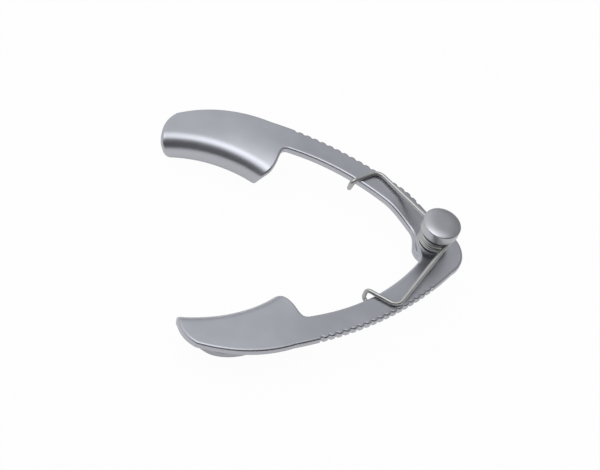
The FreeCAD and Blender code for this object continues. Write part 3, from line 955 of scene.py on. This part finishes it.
wire_tree = geometry_tree("bent_wire", ["Wire Radius", "Free End"], build_wire)
wire_radius = 0.3
wire_clearance = 0.03


def wire_mesh(name, points, corners, free_end):
    """Round wire along points, in millimetres."""
    path = bpy.data.meshes.new(name)
    path.from_pydata([tuple(point) for point in points], [(i, i + 1) for i in range(len(points) - 1)], [])
    path.attributes.new("corner", "FLOAT", "POINT").data.foreach_set("value", corners)
    sizes = {"Wire Radius": wire_radius, "Free End": free_end}
    return run_tree(wire_tree, name, path, sizes, wire_finish)


# %% [markdown]
# Each leg leaves the coil, runs down onto its arm and along it, bends over the arm's inner edge and hooks
# under the sheet. The two legs mirror each other and differ only in the height at which they start.

# %% Spring legs
coil_radius = 2.05
coil_bottom, coil_top = arm_top + 0.9, arm_top + 2.55
leg_angle = 41.0
leg_bend = Vector((-6.35, 11.55))
hook_start, hook_gap, hook_return = 10.58, 0.75, 0.9
LEG_CORNERS = [0.0, 1.3, 0.55, 0.55, 0.0]


def leg_points(side, level):
    """The leg's path: off the coil, along the arm, over its inner edge and hooked under it."""
    reach = wire_radius + wire_clearance
    centre = arc_centre(notch, throat, inner_bow_radius)
    outward = notch - centre
    angle = math.degrees(math.atan2(outward.y, outward.x) - hook_start / inner_bow_radius)
    over = polar(centre, angle, inner_bow_radius - reach - hook_gap)
    under = polar(centre, angle, inner_bow_radius + hook_return)
    above, below = arm_top + reach, arm_top - plate_thickness - reach
    spots = [(polar((0, 0), leg_angle, coil_radius), level), (leg_bend, above),
             (over, above), (over, below), (under, below)]
    return [(spot.x, side * spot.y, height) for spot, height in spots]


def make_leg(node, body, side, level):
    """Makes one leg of the spring."""
    mesh = wire_mesh(node, leg_points(side, level), LEG_CORNERS, 1.0)
    piece = place_piece(node + "_wire", mesh, wire_finish, body)
    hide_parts(node)


make_leg("lower_spring_leg", "lower_arm", 1, coil_bottom)
make_leg("upper_spring_leg", "upper_arm", -1, coil_top)

# %% [markdown]
# The coil is a helix, so its path comes from a formula: two whole turns and the angle between the legs,
# rising evenly from the lower leg to the upper one. It stays where it is made, attached to neither arm.

# %% Coil
COIL_STEPS = 160
full_turns = 2
sweep = full_turns * 360.0 + 2 * leg_angle
coil_path = []
for i in range(COIL_STEPS + 1):
    spot = polar((0, 0), leg_angle - sweep * i / COIL_STEPS, coil_radius)
    coil_path.append((spot.x, spot.y, coil_bottom + (coil_top - coil_bottom) * i / COIL_STEPS))
coil_mesh = wire_mesh("spring_coil", coil_path, [0.0] * len(coil_path), 0.0)
coil = place_piece("spring_coil_wire", coil_mesh, wire_finish)
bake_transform(coil)
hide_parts("spring_coil")

# %% [markdown]
# The stage is a plain white floor under soft light. The floor shows the camera and the mirror-like steel
# an even white, and keeps only a faint shadow. Steel shows its surroundings, so the room matters: a soft
# light nearly overhead, a pale wall on the west that turns grey towards the east, a horizon that is a
# little darker than the wall above it, and a dark side towards the camera, which draws the dark band on
# the rolled blades.

# %% Floor
FLOOR_REACH = 1.5
FLOOR_PAINT = 0.92
SEEN_WHITE = 0.97
MIRRORED_WHITE = 0.45
floor_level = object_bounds()[0].z
floor_mesh = bpy.data.meshes.new("floor")
square = (-1, -1), (1, -1), (1, 1), (-1, 1)
corners = [(x * FLOOR_REACH, y * FLOOR_REACH, floor_level) for x, y in square]
floor_mesh.from_pydata(corners, [], [(0, 1, 2, 3)])
floor = bpy.data.objects.new("floor", floor_mesh)
scene.collection.objects.link(floor)
floor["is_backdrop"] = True
floor_finish = bpy.data.materials.new("white_floor")
floor_finish.use_nodes = True
floor_finish.node_tree.nodes.clear()
graph = Graph(floor_finish.node_tree)
rays = graph.add("ShaderNodeLightPath").socket.node.outputs
seen = Value(graph, rays["Is Camera Ray"]) * SEEN_WHITE
mirrored = Value(graph, rays["Is Glossy Ray"]) + Value(graph, rays["Is Transmission Ray"])
white = graph.add("ShaderNodeEmission", values={"Color": (1, 1, 1, 1), "Strength": 1.0})
matt = graph.add("ShaderNodeBsdfDiffuse", values={"Color": (FLOOR_PAINT, FLOOR_PAINT, FLOOR_PAINT, 1)})
share = (seen + mirrored * MIRRORED_WHITE).most(1.0)
surface = graph.add("ShaderNodeMixShader", values={0: share, 1: matt, 2: white})
graph.add("ShaderNodeOutputMaterial", values={"Surface": surface})
floor_mesh.materials.append(floor_finish)
print("floor at %.2f mm" % (floor_level / MM))

# %% [markdown]
# The room is a world whose strength depends on the direction alone: each Map Range below is one of its
# soft edges. The camera sees plain white in its place. A weak lamp adds the floor's faint shadow.

# %% Room and lamp
WEST_WALL, EAST_WALL = 0.80, 0.36
HORIZON = 0.6
DARKENING = 0.82
LIGHT_WAY = Vector((-0.34, -0.14, 0.93))
LIGHT_EDGE, LIGHT_CORE = 0.87, 0.985
world = bpy.data.worlds.new("studio")
scene.world = world
world.use_nodes = True
world.node_tree.nodes.clear()
graph = Graph(world.node_tree)
way = graph.add("ShaderNodeTexCoord", output="Generated")
east, north, up = graph.parts(way)
wall = east.ease(-0.10, 0.55, WEST_WALL, EAST_WALL) * up.ease(-0.1, 0.5, HORIZON, 1.0)
dark_side = (north * -1).ease(0.05, 0.60)
facing = east * LIGHT_WAY.x + north * LIGHT_WAY.y + up * LIGHT_WAY.z
overhead = facing.ease(LIGHT_EDGE, LIGHT_CORE)
room = wall * (1 - dark_side * DARKENING) + overhead
rays = graph.add("ShaderNodeLightPath").socket.node.outputs
seen = Value(graph, rays["Is Camera Ray"])
strength = seen + (1 - seen) * room
tint = graph.add("ShaderNodeMix", {"data_type": "RGBA"},
                 {0: seen, 6: (0.95, 0.97, 1.0, 1), 7: (1, 1, 1, 1)}, output=2)
light = graph.add("ShaderNodeBackground", values={"Color": tint, "Strength": strength})
graph.add("ShaderNodeOutputWorld", values={"Surface": light})

lamp_data = bpy.data.lights.new("soft_light", "AREA")
lamp_data.shape = "DISK"
lamp_data.size = 0.30
lamp_data.energy = 0.10
lamp = bpy.data.objects.new("soft_light", lamp_data)
lamp.location = (0.02, 0.0, 0.35)
lamp.rotation_mode = "QUATERNION"
lamp.rotation_quaternion = Vector((lamp.location.x + 0.015, 0, lamp.location.z)).to_track_quat("Z", "Y")
scene.collection.objects.link(lamp)

# %% [markdown]
# The camera stands where the photograph was taken: well above the part, on the side of the upper arm,
# with a long lens, and rolled so that the arms run slightly downhill. Its place is worked out from the
# viewing angle and from the point of the picture where the pivot is seen.

# %% Camera
PICTURE = (600, 470)
pivot_seen = (431.84, 243.94)
elevation, azimuth, roll = (math.radians(a) for a in (47.614, -114.319, -24.551))
camera_distance = 372.59
focal_pixels = 2757.2
SENSOR = 36.0
forward = -Vector((math.cos(elevation) * math.cos(azimuth), math.cos(elevation) * math.sin(azimuth),
                   math.sin(elevation)))
level_right = forward.cross(Vector((0, 0, 1))).normalized()
level_down = forward.cross(level_right)
right = math.cos(roll) * level_right + math.sin(roll) * level_down
down = -math.sin(roll) * level_right + math.cos(roll) * level_down
across = (pivot_seen[0] - PICTURE[0] / 2) * camera_distance / focal_pixels
below = (pivot_seen[1] - PICTURE[1] / 2) * camera_distance / focal_pixels
stand = Vector((0, 0, arm_top)) - right * across - down * below - forward * camera_distance
camera_data = bpy.data.cameras.new("camera")
camera_data.sensor_width = SENSOR
camera_data.sensor_fit = "HORIZONTAL"
camera_data.lens = focal_pixels / PICTURE[0] * SENSOR
camera_data.clip_start, camera_data.clip_end = 0.01, 10.0
camera = bpy.data.objects.new("camera", camera_data)
turn = Matrix((right, -down, -forward)).transposed()
camera.matrix_world = Matrix.Translation(stand * MM) @ turn.to_4x4()
scene.collection.objects.link(camera)
scene.camera = camera
place = [round(c, 4) for c in camera.matrix_world.translation]
print("lens %.1f mm, camera at" % camera_data.lens, place)

# %% [markdown]
# The box round the solids and the box round what is shown are written down, so that they can be compared.

# %% Finish
scene.view_settings.view_transform = "Standard"
shown_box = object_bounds()
boxes = {"cad": cad_box, "shown": shown_box}
for name, box in boxes.items():
    print(name, "box", [[round(c / MM, 2) for c in corner] for corner in box])
